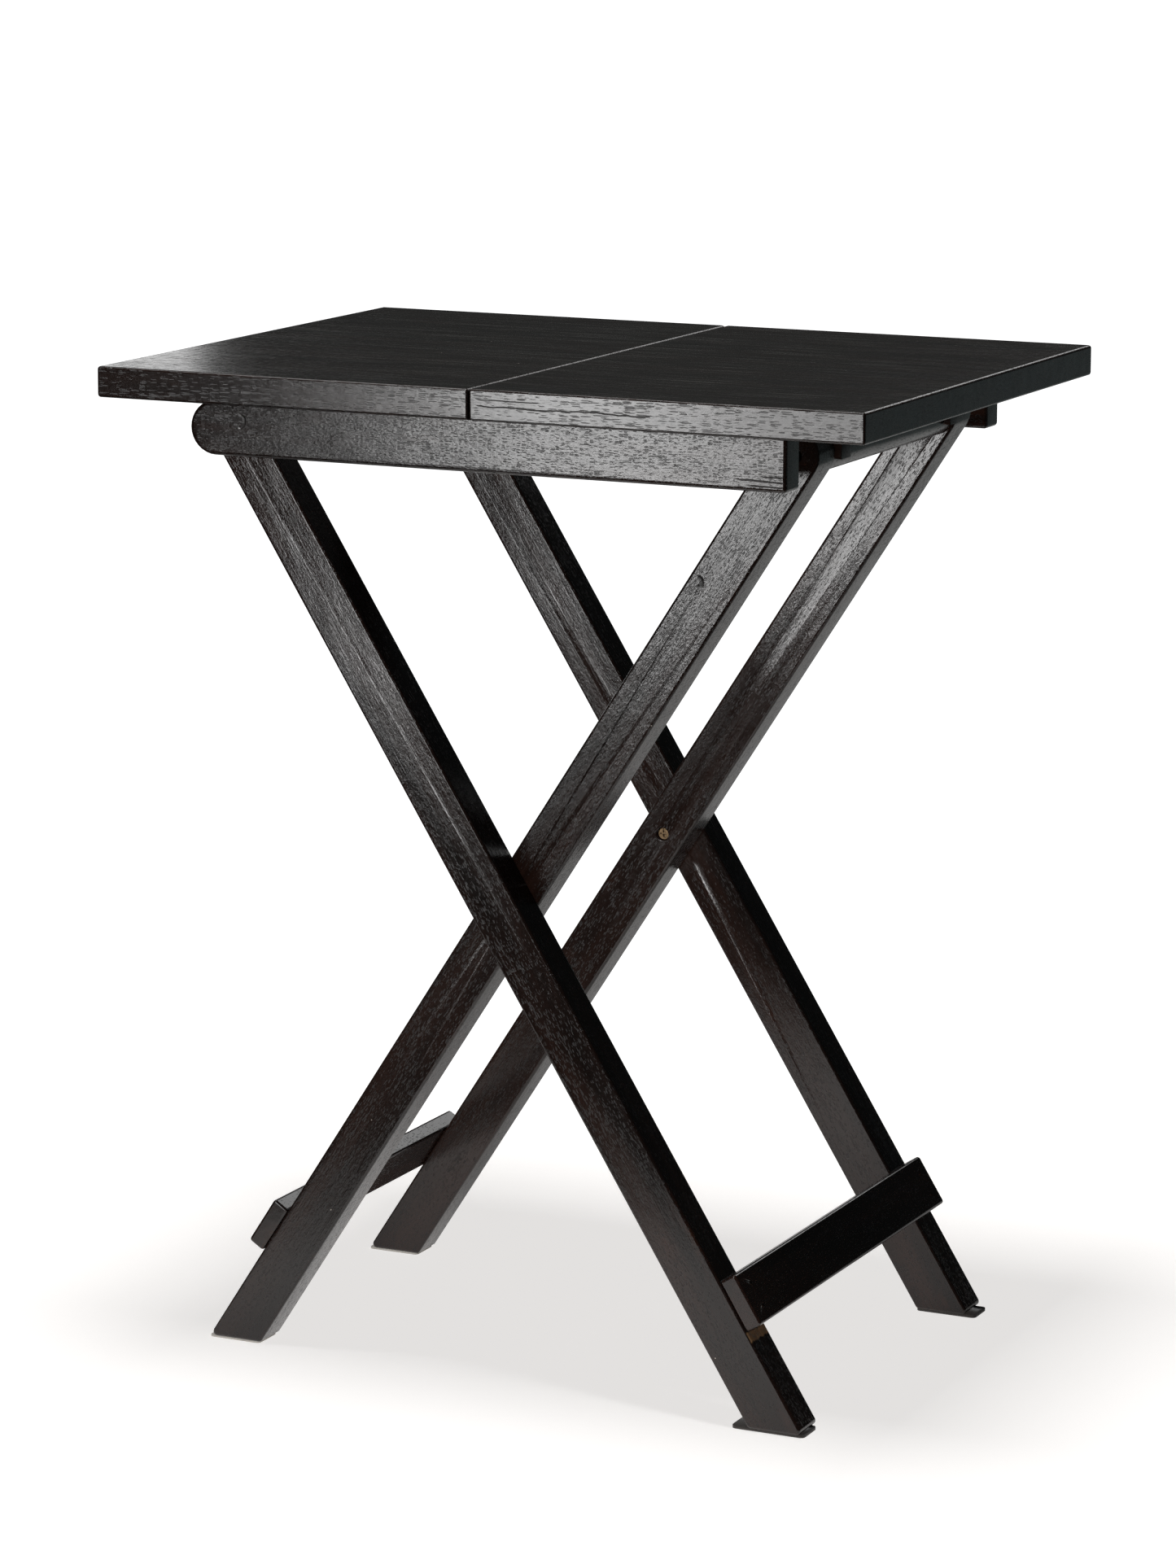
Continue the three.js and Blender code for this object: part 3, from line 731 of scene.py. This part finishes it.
def floor_material():
    material = bpy.data.materials.new("studio_floor")
    material.use_nodes = True
    tree = material.node_tree
    tree.nodes.clear()
    place = add_node(tree, "ShaderNodeTexCoord").outputs["Object"]
    rays = add_node(tree, "ShaderNodeLightPath").outputs
    pale = add_node(tree, "ShaderNodeBsdfDiffuse", {"Color": (0.74, 0.722, 0.71, 1)})
    glow = add_node(tree, "ShaderNodeEmission", {"Color": (1, 0.98, 0.965, 1), "Strength": 0.52})
    lit = add_node(tree, "ShaderNodeAddShader", {0: pale.outputs[0], 1: glow.outputs[0]})
    white = add_node(tree, "ShaderNodeEmission", {"Color": (1, 1, 1, 1), "Strength": 1.2})
    depth = add_node(tree, "ShaderNodeSeparateXYZ", {0: place}).outputs["Y"]
    gloom = mix_colour(tree, between(tree, depth, 0.5, 1.6), NEAR_GLOOM, FAR_GLOOM)
    dark = add_node(tree, "ShaderNodeEmission", {"Color": gloom, "Strength": 1.0})
    close = shelter(tree, place, (0, 0.02, 0), 0.42, 0.80)
    near = shelter(tree, place, (0, -0.2, 0), 0.28, 0.58)
    behind = math_node(tree, "MULTIPLY", shelter(tree, place, (0.05, 0.75, 0), 0.80, 1.30), 0.38)
    sheet = math_node(tree, "MAXIMUM", near, behind)
    seen = add_node(tree, "ShaderNodeMixShader", {0: close, 1: white.outputs[0], 2: lit.outputs[0]})
    mirrored = add_node(tree, "ShaderNodeMixShader", {0: sheet, 1: dark.outputs[0], 2: lit.outputs[0]})
    sockets = {0: rays["Is Camera Ray"], 1: mirrored.outputs[0], 2: seen.outputs[0]}
    whole = add_node(tree, "ShaderNodeMixShader", sockets)
    add_node(tree, "ShaderNodeOutputMaterial", {"Surface": whole.outputs[0]})
    return material


def make_floor(half=30.0):
    mesh = bpy.data.meshes.new("floor")
    corners = [(-half, -half, 0), (half, -half, 0), (half, half, 0), (-half, half, 0)]
    mesh.from_pydata(corners, [], [(0, 1, 2, 3)])
    mesh.materials.append(floor_material())
    floor = bpy.data.objects.new("floor", mesh)
    bpy.context.collection.objects.link(floor)


make_floor()

# %% [markdown]
# ## Lights
# One soft light overhead gives the shade on the floor, and a fill without shadows lifts the dark
# sides. The panels are seen only in reflections: a tall pair and a low card in front make the
# bright bands on the front faces, and the ones above and behind catch the top and its arrises.

# %% Lights
def softbox(name, middle, facing, width, height, radiance, reflected_only=False):
    light = bpy.data.lights.new(name, "AREA")
    light.shape = "RECTANGLE"
    light.size, light.size_y = width, height
    light.energy = radiance * math.pi * width * height
    lamp = bpy.data.objects.new(name, light)
    bpy.context.collection.objects.link(lamp)
    turn = (Vector(middle) - Vector(facing)).to_track_quat("Z", "Y").to_matrix().to_4x4()
    lamp.matrix_world = Matrix.Translation(middle) @ turn
    lamp.visible_camera = False
    lamp.visible_diffuse = not reflected_only
    return lamp


def shadowless_fill(name, azimuth, elevation, strength):
    light = bpy.data.lights.new(name, "SUN")
    light.energy = strength
    light.use_shadow = False
    lamp = bpy.data.objects.new(name, light)
    bpy.context.collection.objects.link(lamp)
    aim(lamp, (0, 0, 0), azimuth, elevation, 3.0)
    lamp.visible_glossy = False
    return lamp


softbox("overhead_softbox", (0, -0.2, 2.6), (0, 0, 0.6), 0.6, 0.6, 34.0)
softbox("front_softbox", (-0.78, -1.98, 0.84), (-0.78, 0, 0.84), 0.29, 1.36, 13.5, reflected_only=True)
softbox("front_softbox_edge", (-0.42, -1.98, 0.84), (-0.42, 0, 0.84), 0.41, 1.36, 6.0, reflected_only=True)
softbox("low_front_card", (-1.13, -1.98, 0.07), (-1.13, 0, 0.07), 0.22, 0.16, 3.0, reflected_only=True)
softbox("upper_left_panel", (-1.05, -0.4, 2.6), (0, 0, 0.6), 1.1, 1.2, 4.0, reflected_only=True)
softbox("back_left_panel", (-2.24, 2.12, 0.75), (-0.4, 0, 0.7), 1.3, 1.3, 1.2, reflected_only=True)
softbox("back_panel", (0.05, 2.6, 1.75), (0, 0, 0.5), 1.0, 0.8, 1.9, reflected_only=True)
shadowless_fill("front_fill", -25, 30, 2.0)

# %% [markdown]
# ## Room
# The camera sees a white backdrop, while reflections see a dark room. A white room would show in
# the varnish everywhere and turn the nearly black wood grey.

# %% Room
world = bpy.data.worlds.new("room")
world.use_nodes = True
bpy.context.scene.world = world
room = world.node_tree
room.nodes.clear()
room_dark = add_node(room, "ShaderNodeBackground", {"Color": (0.016, 0.018, 0.018, 1), "Strength": 1.0})
room_white = add_node(room, "ShaderNodeBackground", {"Color": (1, 1, 1, 1), "Strength": 1.2})
room_seen = add_node(room, "ShaderNodeLightPath").outputs["Is Camera Ray"]
room_sockets = {0: room_seen, 1: room_dark.outputs[0], 2: room_white.outputs[0]}
room_mix = add_node(room, "ShaderNodeMixShader", room_sockets)
add_node(room, "ShaderNodeOutputWorld", {"Surface": room_mix.outputs[0]})
bpy.context.scene.view_settings.view_transform = "Standard"
